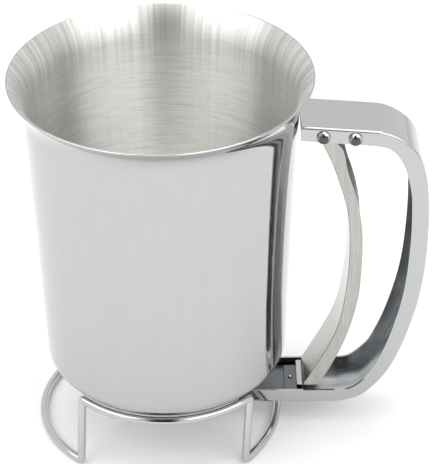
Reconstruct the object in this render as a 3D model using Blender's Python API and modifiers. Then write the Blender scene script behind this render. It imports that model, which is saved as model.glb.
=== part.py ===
"""Stainless steel batter dispenser with a squeeze trigger, standing in a bent wire stand.

Units are metres, +Z is up, +X points from the bowl to the handle, -Y is the front.
The drawing's own zero is the bowl's axis at floor level. The empty "bowl_axis" carries
that zero to the place where the whole object's box is centred on the world origin.
"""
import math

import bmesh
import bpy
from mathutils import Vector

MM = 0.001
GAP = 0.3 * MM                     # air left between two pieces that touch

# Bowl: one deep-drawn cup with a flared lip and a rounded base
RIM_RADIUS = 63.5 * MM
RIM_HEIGHT = 170.5 * MM
FLARE_HEIGHT = 14.5 * MM
WALL_RADIUS = 57.0 * MM            # outside, where the flare begins
WALL_FOOT_RADIUS = 52.15 * MM      # outside, where the rounded base begins
WALL_FOOT_HEIGHT = 39.8 * MM
BASE_HEIGHT = 19.0 * MM            # underside of the bowl
BASE_ROUNDNESS = 1.95              # exponent of the base's superellipse
BOWL_SHEET = 0.9 * MM
BOWL_STEPS = 48

# Outlet under the bowl
BORE_RADIUS = 5.5 * MM
BOSS_BOTTOM = 14.8 * MM
BOSS_NECK_RADIUS = 8.5 * MM
BOSS_FLANGE_RADIUS = 14.5 * MM
BOSS_FLANGE_BOTTOM = 17.95 * MM
BOSS_SPIGOT_RADIUS = 7.6 * MM
BOSS_TOP = 20.6 * MM

# Handle: a pressed channel whose web is outside and whose flanges point inwards
HANDLE_WIDTH = 25.2 * MM
HANDLE_SHEET = 1.0 * MM
ARM_BOTTOM = 11.1 * MM             # underside of the lower arm
ARM_FLANGE_TOP = 17.65 * MM
ARM_END = -11.0 * MM               # the lower arm's tongue ends here, past the outlet
TONGUE_WIDTH = 22.6 * MM
HANDLE_OUTSIDE = ((57.6, 152.6), (85.0, 150.4), (92.2, 149.4), (99.6, 145.6), (105.7, 139.2),
                  (109.3, 129.5), (111.1, 116.0), (111.6, 101.0), (110.9, 82.0), (108.9, 66.0),
                  (106.0, 53.3), (102.3, 40.8), (97.6, 29.4), (91.8, 20.6), (84.2, 13.6),
                  (75.0, 11.1))
HANDLE_INSIDE = ((72.0, 17.65), (80.3, 18.4), (86.0, 22.8), (90.6, 29.0), (97.0, 45.8),
                 (102.3, 68.6), (104.3, 92.6), (104.3, 112.0), (103.2, 122.5), (100.6, 132.2),
                 (97.4, 138.3), (92.6, 142.3), (83.0, 143.9), (57.0, 146.2))

# Trigger: a curved channel, web towards the bowl, hung on the inner rivet
PIVOT = (66.5 * MM, 147.8 * MM)    # x and z of the trigger's pivot
ANCHOR = (79.6 * MM, 146.9 * MM)   # x and z of the outer rivet
TRIGGER_WIDTH = 21.0 * MM
TRIGGER_SHEET = 0.8 * MM
EAR_RADIUS = 2.8 * MM
TRIGGER_WEB = ((60.0, 19.3), (63.8, 26.5), (70.4, 39.8), (74.6, 51.0), (77.1, 65.0), (78.5, 80.5),
               (78.6, 95.0), (77.9, 106.0), (75.9, 116.0), (72.8, 126.4), (70.0, 134.6),
               (66.4, 142.6))
TRIGGER_EDGE = ((71.8, 143.6), (74.8, 139.6), (77.4, 128.0), (81.0, 116.1), (83.4, 104.1),
                (84.2, 92.0), (84.0, 80.0), (83.2, 67.0), (80.8, 54.4), (77.0, 41.5),
                (72.2, 30.1), (69.0, 23.7), (64.5, 17.0))
WEB_TOP = 143.0 * MM               # above this only the two ears remain
LUG_WIDTH = 9.0 * MM
LUG_BOTTOM = 12.9 * MM
LUG_X = 60.7 * MM

# Slide valve
TRACK_SHEET = 0.8 * MM
TRACK_WIDTH = 22.6 * MM
TRACK_END = 47.0 * MM
TRACK_TOP = 17.4 * MM
SLIDE_BOTTOM = 13.5 * MM
SLIDE_THICKNESS = 1.0 * MM
SLIDE_WIDTH = 20.4 * MM
SLIDE_START = -9.6 * MM
SLIDE_END = 63.5 * MM
PULL_LIP_START = 57.3 * MM
PULL_LIP_END = 59.8 * MM
PULL_LIP_TOP = 18.3 * MM
PULL_LIP_WIDTH = 18.0 * MM
PULL_FOOT_START = 51.8 * MM
PULL_FOOT_THICKNESS = 0.8 * MM
PULL_RIVET_X = 54.6 * MM

# Rivets and the parts threaded on them
PIN_RADIUS = 1.25 * MM
HOLE_RADIUS = 1.55 * MM
HEAD_RADIUS = 2.95 * MM
HEAD_HEIGHT = 2.0 * MM
SLEEVE_RADIUS = 1.95 * MM
COIL_RADIUS = 2.5 * MM             # to the middle of the spring wire
COIL_WIRE_RADIUS = 0.3 * MM
COIL_TURNS = 5
COIL_PITCH = 1.0 * MM

# Wire stand
WIRE_RADIUS = 1.75 * MM
RING_RADIUS = 49.3 * MM
RING_HEIGHT = 30.2 * MM
RING_HALF_ANGLE = math.radians(47.0)
LEFT_FOOT = (-37.2 * MM, 39.8 * MM, -55.6 * MM)    # corner's x and y, and the arc's furthest x
RIGHT_FOOT = (34.0 * MM, 40.6 * MM, 48.7 * MM)
BEND_RADIUS = 3.6 * MM

HANDLE_REACH = 111.6 * MM
BOWL_X = (RIM_RADIUS - HANDLE_REACH) / 2


def clear_scene():
    """Remove every object so that the script can be run again in an open file."""
    for old in list(bpy.data.objects):
        bpy.data.objects.remove(old, do_unlink=True)
    for name in ("batter_dispenser", "cutters"):
        if name in bpy.data.collections:
            bpy.data.collections.remove(bpy.data.collections[name])


def new_collection(name):
    collection = bpy.data.collections.new(name)
    bpy.context.scene.collection.children.link(collection)
    return collection


def new_material(name, colour, roughness):
    """A bare metal: every piece of this object is stainless steel."""
    material = bpy.data.materials.new(name)
    material.use_nodes = True
    shader = material.node_tree.nodes["Principled BSDF"]
    shader.inputs["Base Color"].default_value = (*colour, 1.0)
    shader.inputs["Metallic"].default_value = 1.0
    shader.inputs["Roughness"].default_value = roughness
    return material


clear_scene()
PARTS = new_collection("batter_dispenser")
CUTTERS = new_collection("cutters")
STEEL = {
    "mirror": new_material("mirror_polished_steel", (0.78, 0.78, 0.79), 0.08),
    "brushed": new_material("brushed_steel", (0.72, 0.72, 0.71), 0.28),
    "dark": new_material("plain_steel_plate", (0.45, 0.46, 0.47), 0.22),
    "spring": new_material("spring_steel", (0.50, 0.50, 0.51), 0.30),
}

bowl_axis = bpy.data.objects.new("bowl_axis", None)
bowl_axis.location = (BOWL_X, 0, 0)
PARTS.objects.link(bowl_axis)


def joint_empty(name, location):
    """An empty on a moving piece's joint, given in the bowl's coordinates."""
    empty = bpy.data.objects.new(name, None)
    empty.location = location
    empty.parent = bowl_axis
    PARTS.objects.link(empty)
    return empty


trigger_pivot = joint_empty("trigger_pivot", (PIVOT[0], 0, PIVOT[1]))
slide_origin = joint_empty("slide_origin", (0, 0, SLIDE_BOTTOM))


def place(obj, steel, parent=bowl_axis, cutter=False):
    """Put an object drawn in bowl coordinates under its parent, as a part or as a cutter."""
    if cutter:
        CUTTERS.objects.link(obj)
        obj.hide_render = True
        obj.display_type = "WIRE"
    else:
        PARTS.objects.link(obj)
        obj.data.materials.append(STEEL[steel])
    obj.parent = parent
    if parent is not bowl_axis:
        obj.location = obj.location - parent.location
    return obj


def object_from_bmesh(name, mesh_edit, smooth=False):
    mesh = bpy.data.meshes.new(name)
    mesh_edit.to_mesh(mesh)
    mesh_edit.free()
    if smooth:
        mesh.shade_smooth()
        mesh.set_sharp_from_angle(angle=math.radians(35))
    return bpy.data.objects.new(name, mesh)


def box(name, low, high, steel="brushed", parent=bowl_axis, cutter=False):
    """A plain block from its lowest to its highest corner."""
    low, high = Vector(low), Vector(high)
    mesh_edit = bmesh.new()
    bmesh.ops.create_cube(mesh_edit, size=1.0)
    bmesh.ops.scale(mesh_edit, vec=high - low, verts=mesh_edit.verts)
    obj = object_from_bmesh(name, mesh_edit)
    obj.location = (low + high) / 2
    return place(obj, steel, parent, cutter)


def turned(name, profile, steel, axis="Z", centre=(0, 0, 0), steps=32, parent=bowl_axis, sheet=0.0):
    """Turn an outline of (radius, height) points; with a sheet thickness the outline is open."""
    mesh = bpy.data.meshes.new(name)
    points = [(radius, 0, height) for radius, height in profile]
    edges = [(i, i + 1) for i in range(len(points) - 1)]
    on_axis = points[0][0] == 0 and points[-1][0] == 0
    if not sheet and not on_axis:
        edges.append((len(points) - 1, 0))
    mesh.from_pydata(points, edges, [])
    obj = bpy.data.objects.new(name, mesh)
    place(obj, steel, parent)
    screw = obj.modifiers.new("turn", "SCREW")
    screw.steps = steps
    screw.render_steps = steps
    screw.use_merge_vertices = True
    screw.merge_threshold = 0.00001
    screw.use_smooth_shade = True
    if sheet:
        solidify = obj.modifiers.new("sheet", "SOLIDIFY")
        solidify.thickness = sheet
        solidify.offset = -1.0
    obj.location = Vector(centre) - (parent.location if parent is not bowl_axis else Vector())
    if axis == "Y":
        obj.rotation_euler = (math.radians(90), 0, 0)
    return obj


def as_mesh(obj, steel, parent, cutter=False):
    """Turn a curve object into a closed mesh object of the same name and place."""
    bpy.context.view_layer.update()
    evaluated = obj.evaluated_get(bpy.context.evaluated_depsgraph_get())
    mesh = bpy.data.meshes.new_from_object(evaluated)
    mesh_edit = bmesh.new()
    mesh_edit.from_mesh(mesh)
    bmesh.ops.remove_doubles(mesh_edit, verts=mesh_edit.verts, dist=0.000001)
    bmesh.ops.recalc_face_normals(mesh_edit, faces=mesh_edit.faces)
    mesh_edit.to_mesh(mesh)
    mesh_edit.free()
    name, location, rotation = obj.name, obj.location.copy(), obj.rotation_euler.copy()
    bpy.data.objects.remove(obj, do_unlink=True)
    solid = bpy.data.objects.new(name, mesh)
    mesh.materials.clear()
    solid.location = location
    solid.rotation_euler = rotation
    return place(solid, steel, parent, cutter)


def plate(name, outline, width, steel="brushed", parent=bowl_axis, cutter=False):
    """A flat outline of (x, z) points, as thick as width and centred on the plane y = 0."""
    curve = bpy.data.curves.new(name, "CURVE")
    curve.dimensions = "2D"
    curve.fill_mode = "BOTH"
    curve.extrude = width / 2
    spline = curve.splines.new("POLY")
    spline.points.add(len(outline) - 1)
    for point, (x, z) in zip(spline.points, outline):
        point.co = (x, z, 0, 1)
    spline.use_cyclic_u = True
    obj = bpy.data.objects.new(name, curve)
    obj.rotation_euler = (math.radians(90), 0, 0)
    bpy.context.scene.collection.objects.link(obj)
    return as_mesh(obj, steel, parent, cutter)


def wire(name, route, radius, steel, closed=False, parent=bowl_axis):
    """A round wire along a route of points."""
    curve = bpy.data.curves.new(name, "CURVE")
    curve.dimensions = "3D"
    curve.bevel_depth = radius
    curve.bevel_resolution = 2
    curve.use_fill_caps = not closed
    spline = curve.splines.new("POLY")
    spline.points.add(len(route) - 1)
    for point, place_on_route in zip(spline.points, route):
        point.co = (*place_on_route, 1)
    spline.use_cyclic_u = closed
    obj = bpy.data.objects.new(name, curve)
    bpy.context.scene.collection.objects.link(obj)
    solid = as_mesh(obj, steel, parent)
    solid.data.shade_smooth()
    return solid


def cut(obj, *cutters, operation="DIFFERENCE"):
    for cutter in cutters:
        modifier = obj.modifiers.new(cutter.name, "BOOLEAN")
        modifier.operation = operation
        modifier.object = cutter
        modifier.solver = "EXACT"


def cross_hole(name, centre, radius, width, parent=bowl_axis):
    """A cutter for a round hole along Y through both flanges."""
    mesh_edit = bmesh.new()
    bmesh.ops.create_cone(mesh_edit, cap_ends=True, segments=20, radius1=radius, radius2=radius,
                          depth=width)
    obj = object_from_bmesh(name, mesh_edit)
    obj.location = (centre[0], 0, centre[1])
    obj.rotation_euler = (math.radians(90), 0, 0)
    return place(obj, None, parent, cutter=True)


def upright_hole(name, x, radius, low, high, parent=bowl_axis):
    """A cutter for a round hole along Z."""
    mesh_edit = bmesh.new()
    bmesh.ops.create_cone(mesh_edit, cap_ends=True, segments=24, radius1=radius, radius2=radius,
                          depth=high - low)
    obj = object_from_bmesh(name, mesh_edit)
    obj.location = (x, 0, (low + high) / 2)
    return place(obj, None, parent, cutter=True)


def in_metres(points):
    return [Vector((x * MM, z * MM)) for x, z in points]


def smooth_path(knots, steps):
    """Points on a smooth curve through the knots (centripetal blend of neighbours)."""
    knots = [knots[0] * 2 - knots[1]] + list(knots) + [knots[-1] * 2 - knots[-2]]
    path = []
    for before, start, end, after in zip(knots, knots[1:], knots[2:], knots[3:]):
        chord = (end - start).length
        slope_in = (end - before).normalized() * chord
        slope_out = (after - start).normalized() * chord
        for i in range(steps):
            t = i / steps
            path.append(start * (2 * t**3 - 3 * t**2 + 1) + slope_in * (t**3 - 2 * t**2 + t)
                        + end * (3 * t**2 - 2 * t**3) + slope_out * (t**3 - t**2))
    path.append(knots[-2])
    return path


def shifted_right(path, distance):
    """The path moved sideways to its right-hand side by a sheet's thickness."""
    moved = []
    for i, point in enumerate(path):
        along = path[min(i + 1, len(path) - 1)] - path[max(i - 1, 0)]
        moved.append(point + Vector((along.y, -along.x)).normalized() * distance)
    return moved


# ---------------------------------------------------------------- bowl and outlet

def bowl_profile():
    """Outer side of the bowl from the lip down to the edge of the outlet hole."""
    flare_angle = 2 * math.atan((RIM_RADIUS - WALL_RADIUS) / FLARE_HEIGHT)
    flare_radius = FLARE_HEIGHT / math.sin(flare_angle)
    profile = []
    for i in range(6):
        angle = flare_angle * (1 - i / 6)
        profile.append((WALL_RADIUS + flare_radius * (1 - math.cos(angle)),
                        RIM_HEIGHT - FLARE_HEIGHT + flare_radius * math.sin(angle)))
    profile.append((WALL_RADIUS, RIM_HEIGHT - FLARE_HEIGHT))
    depth = WALL_FOOT_HEIGHT - BASE_HEIGHT
    for i in range(11):
        angle = math.radians(78) * i / 10
        profile.append((WALL_FOOT_RADIUS * math.cos(angle) ** (2 / BASE_ROUNDNESS),
                        WALL_FOOT_HEIGHT - depth * math.sin(angle) ** (2 / BASE_ROUNDNESS)))
    profile.append((BOSS_SPIGOT_RADIUS + GAP, BASE_HEIGHT))
    return profile


turned("bowl", bowl_profile(), "mirror", steps=BOWL_STEPS, sheet=BOWL_SHEET)

turned("outlet_boss", [
    (BOSS_SPIGOT_RADIUS, BOSS_TOP),
    (BOSS_SPIGOT_RADIUS, BASE_HEIGHT - GAP),
    (BOSS_FLANGE_RADIUS, BASE_HEIGHT - GAP),
    (BOSS_FLANGE_RADIUS, BOSS_FLANGE_BOTTOM),
    (BOSS_NECK_RADIUS, BOSS_FLANGE_BOTTOM),
    (BOSS_NECK_RADIUS, BOSS_BOTTOM),
    (BORE_RADIUS, BOSS_BOTTOM),
    (BORE_RADIUS, BOSS_TOP),
], "brushed", steps=32)

# ---------------------------------------------------------------- handle

outside = smooth_path(in_metres(HANDLE_OUTSIDE[1:]), 4)
inside = smooth_path(in_metres(HANDLE_INSIDE[:-1]), 4)
arm_start, arm_foot = in_metres((HANDLE_OUTSIDE[0], HANDLE_INSIDE[-1]))
flange_end_low = Vector((41.8 * MM, ARM_BOTTOM))
flange_end_high = Vector((37.8 * MM, ARM_FLANGE_TOP))
handle = plate("handle", [arm_start, *outside, flange_end_low, flange_end_high, *inside, arm_foot],
               HANDLE_WIDTH, "mirror")

# the hollow of the channel: everything inside the web, open towards the trigger
web_inside = shifted_right([arm_start, *outside], HANDLE_SHEET)
hollow_start = web_inside[0] + Vector((-5 * MM, 0.4 * MM))
hollow = plate("handle_hollow_cutter",
               [hollow_start, *web_inside[1:], Vector((30 * MM, ARM_BOTTOM + HANDLE_SHEET)),
                Vector((30 * MM, 60 * MM)), Vector((50 * MM, 120 * MM))],
               HANDLE_WIDTH - 2 * HANDLE_SHEET, cutter=True)
tongue = box("handle_tongue_cutter", (ARM_END, -TONGUE_WIDTH / 2, ARM_BOTTOM),
             (50 * MM, TONGUE_WIDTH / 2, ARM_BOTTOM + HANDLE_SHEET), cutter=True)
cut(handle, hollow)
cut(handle, tongue, operation="UNION")
cut(handle,
    cross_hole("handle_pivot_cutter", PIVOT, HOLE_RADIUS, HANDLE_WIDTH * 1.5),
    cross_hole("handle_anchor_cutter", ANCHOR, HOLE_RADIUS, HANDLE_WIDTH * 1.5),
    upright_hole("handle_outlet_cutter", 0, BORE_RADIUS + 1.5 * MM, 0, 15 * MM))

# angle that ties the upper arm to the bowl's wall, inside the channel
plate("upper_bracket", in_metres((
    (57.3, 146.4), (58.1, 146.4), (58.1, 150.0), (62.4, 149.6), (62.4, 150.4), (57.3, 150.8),
)), 20 * MM, "brushed")

# ---------------------------------------------------------------- slide valve

track_bottom = ARM_BOTTOM + HANDLE_SHEET + GAP
track = box("slide_track", (ARM_END, -TRACK_WIDTH / 2, track_bottom),
            (TRACK_END, TRACK_WIDTH / 2, TRACK_TOP), "brushed")
cut(track,
    box("track_hollow_cutter",
        (ARM_END + TRACK_SHEET, TRACK_SHEET - TRACK_WIDTH / 2, track_bottom + TRACK_SHEET),
        (TRACK_END + 5 * MM, TRACK_WIDTH / 2 - TRACK_SHEET, TRACK_TOP + 5 * MM), cutter=True),
    upright_hole("track_outlet_cutter", 0, BORE_RADIUS + 1.0 * MM, 5 * MM, 15 * MM))

slide_top = SLIDE_BOTTOM + SLIDE_THICKNESS
slide = box("slide_plate", (SLIDE_START, -SLIDE_WIDTH / 2, SLIDE_BOTTOM),
            (SLIDE_END, SLIDE_WIDTH / 2, slide_top), "dark", slide_origin)
cut(slide,
    box("lug_slot_cutter", (LUG_X - 0.4 * MM, -LUG_WIDTH / 2 - 0.5 * MM, 10 * MM),
        (LUG_X + TRIGGER_SHEET + 0.6 * MM, LUG_WIDTH / 2 + 0.5 * MM, 20 * MM),
        parent=slide_origin, cutter=True),
    upright_hole("slide_rivet_cutter", PULL_RIVET_X, 0.7 * MM, 10 * MM, 20 * MM, slide_origin))

foot_bottom = slide_top + GAP
foot_top = foot_bottom + PULL_FOOT_THICKNESS
pull_angle = plate("pull_angle", [
    Vector((PULL_FOOT_START, foot_bottom)), Vector((PULL_LIP_END, foot_bottom)),
    Vector((PULL_LIP_END, PULL_LIP_TOP)), Vector((PULL_LIP_START, PULL_LIP_TOP)),
    Vector((PULL_LIP_START, foot_top)), Vector((PULL_FOOT_START, foot_top)),
], PULL_LIP_WIDTH, "mirror", slide_origin)
cut(pull_angle,
    upright_hole("pull_rivet_cutter", PULL_RIVET_X, 0.7 * MM, 10 * MM, 20 * MM, slide_origin))

turned("pull_rivet", [
    (0, foot_top + 0.85 * MM), (0.6 * MM, foot_top + 0.7 * MM), (0.9 * MM, foot_top + GAP),
    (0.5 * MM, foot_top + GAP), (0.5 * MM, SLIDE_BOTTOM + 0.1 * MM), (0, SLIDE_BOTTOM + 0.1 * MM),
], "mirror", centre=(PULL_RIVET_X, 0, 0), steps=16, parent=slide_origin)

keeper_bottom = slide_top + GAP
box("slide_keeper", (21 * MM, -SLIDE_WIDTH / 2, keeper_bottom),
    (27 * MM, SLIDE_WIDTH / 2, keeper_bottom + TRACK_SHEET), "brushed")

# ---------------------------------------------------------------- trigger

web = smooth_path(in_metres(TRIGGER_WEB), 3)
edge = smooth_path(in_metres(TRIGGER_EDGE), 3)
pivot_point = Vector(PIVOT)
ear = [pivot_point + Vector((math.cos(a), math.sin(a))) * EAR_RADIUS
       for a in (math.radians(200 - 22 * i) for i in range(11))]
trigger = plate("trigger", [*web, *ear, *edge], TRIGGER_WIDTH, "brushed", trigger_pivot)
trigger_web_inside = shifted_right(web, TRIGGER_SHEET)
hollow = plate("trigger_hollow_cutter", [
    Vector((61.7 * MM, 5 * MM)), *trigger_web_inside[1:-1], Vector((60 * MM, WEB_TOP)),
    Vector((60 * MM, 160 * MM)), Vector((100 * MM, 160 * MM)), Vector((100 * MM, 5 * MM)),
], TRIGGER_WIDTH - 2 * TRIGGER_SHEET, parent=trigger_pivot, cutter=True)
lug = box("trigger_lug_cutter", (LUG_X, -LUG_WIDTH / 2, LUG_BOTTOM),
          (LUG_X + TRIGGER_SHEET, LUG_WIDTH / 2, 20.6 * MM), parent=trigger_pivot, cutter=True)
cut(trigger, hollow)
cut(trigger, lug, operation="UNION")
cut(trigger, cross_hole("trigger_pivot_cutter", PIVOT, HOLE_RADIUS, HANDLE_WIDTH, trigger_pivot))

# ---------------------------------------------------------------- rivets, sleeves and spring

HEAD_BASE = HANDLE_WIDTH / 2 + GAP


def rivet_profile():
    """Domed head at the front, plain shank, ending inside the pressed-on rear cap."""
    front, rear = HEAD_BASE + HEAD_HEIGHT, -HEAD_BASE - 0.9 * MM
    dome = [(HEAD_RADIUS * math.sin(a), HEAD_BASE + HEAD_HEIGHT * math.cos(a))
            for a in (math.radians(22.5 * i) for i in range(1, 5))]
    return [(0, front), *dome, (PIN_RADIUS, HEAD_BASE), (PIN_RADIUS, rear), (0, rear)]


def cap_profile():
    """Domed cap with a blind hole for the end of the shank."""
    dome = [(HEAD_RADIUS * math.sin(a), -HEAD_BASE - HEAD_HEIGHT * math.cos(a))
            for a in (math.radians(90 - 22.5 * i) for i in range(4))]
    hole, floor = PIN_RADIUS + 0.1 * MM, -HEAD_BASE - 1.1 * MM
    return [(0, floor), (hole, floor), (hole, -HEAD_BASE), *dome, (0, -HEAD_BASE - HEAD_HEIGHT)]


for name, (x, z) in (("pivot", PIVOT), ("anchor", ANCHOR)):
    turned(name + "_rivet", rivet_profile(), "mirror", "Y", (x, 0, z), steps=20)
    turned(name + "_rivet_cap", cap_profile(), "mirror", "Y", (x, 0, z), steps=20)

inside_half = HANDLE_WIDTH / 2 - HANDLE_SHEET
ear_outside = TRIGGER_WIDTH / 2
for name, side in (("front", 1), ("rear", -1)):
    far, near = sorted((side * (ear_outside + GAP), side * (inside_half - GAP)))
    turned("pivot_washer_" + name, [
        (2.8 * MM, near), (2.8 * MM, far), (HOLE_RADIUS, far), (HOLE_RADIUS, near),
    ], "brushed", "Y", (PIVOT[0], 0, PIVOT[1]), steps=20)


def sleeve_profile(half_length):
    return [(SLEEVE_RADIUS, half_length), (SLEEVE_RADIUS, -half_length),
            (PIN_RADIUS + 0.2 * MM, -half_length), (PIN_RADIUS + 0.2 * MM, half_length)]


ear_inside = TRIGGER_WIDTH / 2 - TRIGGER_SHEET
turned("pivot_sleeve", sleeve_profile(ear_inside - GAP), "brushed", "Y",
       (PIVOT[0], 0, PIVOT[1]), steps=16)
turned("anchor_sleeve", sleeve_profile(inside_half - GAP), "brushed", "Y",
       (ANCHOR[0], 0, ANCHOR[1]), steps=16)


def spring_route():
    """Torsion spring round the pivot sleeve: one leg on the trigger's web, one under the anchor."""
    web_leg_end = Vector((74.6 * MM, 127.5 * MM)) - pivot_point
    hook = Vector(ANCHOR) - pivot_point - Vector((0, SLEEVE_RADIUS + GAP + COIL_WIRE_RADIUS))
    half_length = COIL_TURNS * COIL_PITCH / 2

    def tangent_angle(target, side):
        """Angle on the coil where a straight leg to the target leaves it."""
        return (math.atan2(target.y, target.x)
                + side * math.acos(COIL_RADIUS / target.length))

    start = tangent_angle(web_leg_end, 1)
    end = tangent_angle(hook, -1)
    sweep = -2 * math.pi * COIL_TURNS + (end - start)
    count = 12 * COIL_TURNS
    route = [Vector((web_leg_end.x, half_length, web_leg_end.y))]
    for i in range(count + 1):
        angle = start + sweep * i / count
        route.append(Vector((COIL_RADIUS * math.cos(angle), half_length * (1 - 2 * i / count),
                             COIL_RADIUS * math.sin(angle))))
    past_hook = hook * ((hook.length + 2.2 * MM) / hook.length)
    route.append(Vector((past_hook.x, -half_length, hook.y)))
    return [point + Vector((PIVOT[0], 0, PIVOT[1])) for point in route]


wire("return_spring", spring_route(), COIL_WIRE_RADIUS, "spring")

# ---------------------------------------------------------------- stand


def rounded(corners, radius, steps):
    """Replace each sharp corner of a closed route by an arc of the bend radius."""
    route = []
    for i, (corner, is_bend) in enumerate(corners):
        if not is_bend:
            route.append(corner)
            continue
        before = (corners[i - 1][0] - corner)
        after = (corners[(i + 1) % len(corners)][0] - corner)
        reach = min(radius, before.length * 0.6, after.length * 0.6)
        start, end = corner + before.normalized() * reach, corner + after.normalized() * reach
        for k in range(steps + 1):
            t = k / steps
            route.append(start * (1 - t) ** 2 + corner * 2 * t * (1 - t) + end * t**2)
    return route


def foot_arc(foot, steps):
    """A foot on the floor, from front corner to back corner, as an arc through its far point."""
    corner_x, corner_y, far_x = foot
    rise = far_x - corner_x
    bend = (corner_y**2 + rise**2) / (2 * rise)
    half = math.asin(corner_y / abs(bend))
    turns = [half * (2 * i / steps - 1) for i in range(steps + 1)]
    return [Vector((far_x - bend * (1 - math.cos(a)), abs(bend) * math.sin(a), WIRE_RADIUS))
            for a in turns]


def ring_arc(middle, steps):
    """The part of the ring round one side of the bowl's base, anticlockwise from above."""
    turns = [middle + RING_HALF_ANGLE * (2 * i / steps - 1) for i in range(steps + 1)]
    return [Vector((math.cos(a) * RING_RADIUS, math.sin(a) * RING_RADIUS, RING_HEIGHT))
            for a in turns]


def stand_route():
    """One closed loop: front ring arc, right foot, back ring arc, left foot."""
    corners = []
    for piece in (ring_arc(-math.pi / 2, 16), foot_arc(RIGHT_FOOT, 12),
                  ring_arc(math.pi / 2, 16), foot_arc(LEFT_FOOT, 12)[::-1]):
        corners += [(point, point in (piece[0], piece[-1])) for point in piece]
    return rounded(corners, BEND_RADIUS, 4)


wire("wire_stand", stand_route(), WIRE_RADIUS, "mirror", closed=True)
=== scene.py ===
import math

import bmesh
import bpy
from mathutils import Matrix, Vector


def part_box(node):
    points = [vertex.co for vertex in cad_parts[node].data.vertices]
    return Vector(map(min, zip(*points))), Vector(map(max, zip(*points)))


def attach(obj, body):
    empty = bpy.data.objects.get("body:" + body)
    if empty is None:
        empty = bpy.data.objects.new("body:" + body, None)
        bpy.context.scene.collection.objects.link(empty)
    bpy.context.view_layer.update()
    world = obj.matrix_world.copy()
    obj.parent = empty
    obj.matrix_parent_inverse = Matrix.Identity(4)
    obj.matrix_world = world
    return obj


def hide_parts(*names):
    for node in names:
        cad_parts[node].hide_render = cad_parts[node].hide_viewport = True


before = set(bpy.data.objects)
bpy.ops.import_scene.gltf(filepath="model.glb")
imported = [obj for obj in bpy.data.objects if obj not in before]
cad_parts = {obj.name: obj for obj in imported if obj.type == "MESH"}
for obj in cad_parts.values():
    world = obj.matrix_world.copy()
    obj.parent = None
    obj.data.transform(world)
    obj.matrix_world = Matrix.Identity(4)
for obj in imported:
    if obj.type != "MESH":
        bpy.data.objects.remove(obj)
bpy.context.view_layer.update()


# ------------------------------------------------------------------ bowl
# The bowl is one cup deep-drawn from 0.9 mm stainless sheet. Its lip is flared out in the
# same press and its cut edge is rolled smooth. The outside is buffed to a mirror on a wheel,
# and the inside is ground while it turns, which leaves fine rings all the way round.

MM = 0.001

bowl_low, bowl_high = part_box("bowl")
BOWL_X = (bowl_low.x + bowl_high.x) / 2
RIM_RADIUS = 63.5 * MM
RIM_HEIGHT = 170.5 * MM
FLARE_HEIGHT = 14.5 * MM
WALL_RADIUS = 57.0 * MM
WALL_FOOT_RADIUS = 52.15 * MM
WALL_FOOT_HEIGHT = 39.8 * MM
BASE_HEIGHT = 19.0 * MM
BASE_ROUNDNESS = 1.95
BASE_HOLE_RADIUS = 7.9 * MM
BOWL_SHEET = 0.9 * MM
LAID_ALONG_Y = Matrix.Rotation(math.radians(90), 3, "X")    # lays a Z axis along Y


def smooth_shaded(mesh, angle=40):
    mesh.shade_smooth()
    mesh.set_sharp_from_angle(angle=math.radians(angle))
    return mesh


def linear(hex_colour):
    """An sRGB hex colour as the linear RGBA that a shader socket takes."""
    channels = [int(hex_colour[i:i + 2], 16) / 255 for i in (1, 3, 5)]
    return (*[c / 12.92 if c <= 0.04045 else ((c + 0.055) / 1.055) ** 2.4 for c in channels], 1.0)


def node(tree, kind, settings=None, **links):
    """Add a shader node. A link is a socket or a value, and its key an input's name or number."""
    made = tree.nodes.new("ShaderNode" + kind)
    for key, value in (settings or {}).items():
        setattr(made, key, value)
    for key, value in links.items():
        socket = made.inputs[int(key[1:])] if key[0] == "i" and key[1:].isdigit() \
            else made.inputs[key.replace("_", " ")]
        if isinstance(value, bpy.types.NodeSocket):
            tree.links.new(value, socket)
        else:
            socket.default_value = value
    return made


def new_steel(name, hex_colour, roughness):
    """A bare metal shader with its own tree; returns the material, its tree and its shader."""
    material = bpy.data.materials.new(name)
    material.use_nodes = True
    tree = material.node_tree
    shader = tree.nodes["Principled BSDF"]
    shader.inputs["Base Color"].default_value = linear(hex_colour)
    shader.inputs["Metallic"].default_value = 1.0
    shader.inputs["Roughness"].default_value = roughness
    return material, tree, shader


def tinted_ramp(tree, factor, stops):
    """Colours between (position, hex colour) stops, along a factor from 0 to 1."""
    ramp = node(tree, "ValToRGB", i0=factor)
    elements = ramp.color_ramp.elements
    while len(elements) < len(stops):
        elements.new(0.5)
    for element, (position, hex_colour) in zip(elements, stops):
        element.position = position
        element.color = linear(hex_colour)
    return ramp.outputs["Color"]


def buffed_steel():
    """Mirror-buffed 18/8 stainless: a clear reflection, faintly wavy from the press, with the
    hair-fine lines and a slightly uneven haze that the buffing wheel leaves."""
    material, tree, shader = new_steel("mirror_buffed_stainless", "#B6B7B7", 0.06)
    place = node(tree, "TexCoord").outputs["Object"]
    haze = node(tree, "TexNoise", Vector=place, Scale=1 / (18 * MM), Detail=4.0)
    rough = node(tree, "MapRange", Value=haze.outputs[0], To_Min=0.035, To_Max=0.085)
    tree.links.new(rough.outputs[0], shader.inputs["Roughness"])
    along = node(tree, "Mapping", Vector=place, Scale=(1.0, 1.0, 0.05))
    lines = node(tree, "TexNoise", Vector=along.outputs[0], Scale=1 / (0.5 * MM), Detail=3.0)
    press = node(tree, "TexNoise", Vector=place, Scale=1 / (26 * MM), Detail=1.0)
    fine = node(tree, "Bump", Height=lines.outputs[0], Strength=0.035, Distance=0.05 * MM)
    wavy = node(tree, "Bump", Height=press.outputs[0], Strength=0.05, Distance=1.0 * MM,
                Normal=fine.outputs[0])
    tree.links.new(wavy.outputs[0], shader.inputs["Normal"])
    return material


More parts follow.
